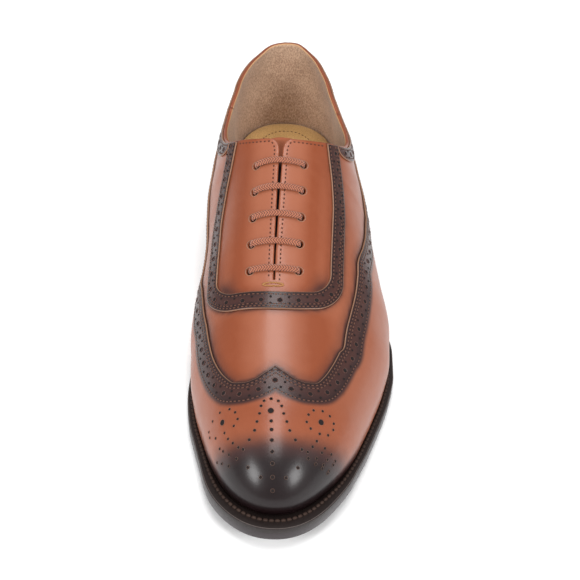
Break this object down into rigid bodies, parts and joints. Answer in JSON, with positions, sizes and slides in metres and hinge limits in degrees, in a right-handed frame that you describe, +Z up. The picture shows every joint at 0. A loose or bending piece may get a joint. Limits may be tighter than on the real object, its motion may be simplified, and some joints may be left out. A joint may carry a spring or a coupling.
{
  "type": "shoe",
  "caption": "Left tan leather lace-up dress shoe with a wing-tip toe, dark perforated bands, a closed throat, a stitched-on sole and a stacked heel.",
  "frame": {"origin": "centre of the footprint box, on the floor plane that the heel and the forepart of the sole stand on", "axes": "+X to the shoe's outer side, +Y to the back of the heel with the toe at -Y, +Z up"},
  "size_m": [0.112, 0.309, 0.1079],
  "materials": {
    "tan_leather": "smooth, burnished towards the toe, satin to glossy",
    "dark_leather": "smooth burnished dark brown, satin",
    "sole_leather": "dark stained edge, waxed, satin",
    "rubber": "black, matt",
    "sock_leather": "golden tan, matt",
    "lace_cord": "flat woven cord, matt"
  },
  "bodies": {
    "root": {"outsole": "rubber", "welt": "sole_leather", "heel_rand": "sole_leather", "heel_block": "sole_leather", "heel_top_piece": "rubber", "insole": "sock_leather", "upper": "tan_leather", "wing": "tan_leather", "facing_band": "dark_leather", "collar_strip_outer": "dark_leather", "collar_strip_inner": "dark_leather", "back_strap": "tan_leather", "tongue": "tan_leather", "lace": "lace_cord"}
  },
  "joints": []
}
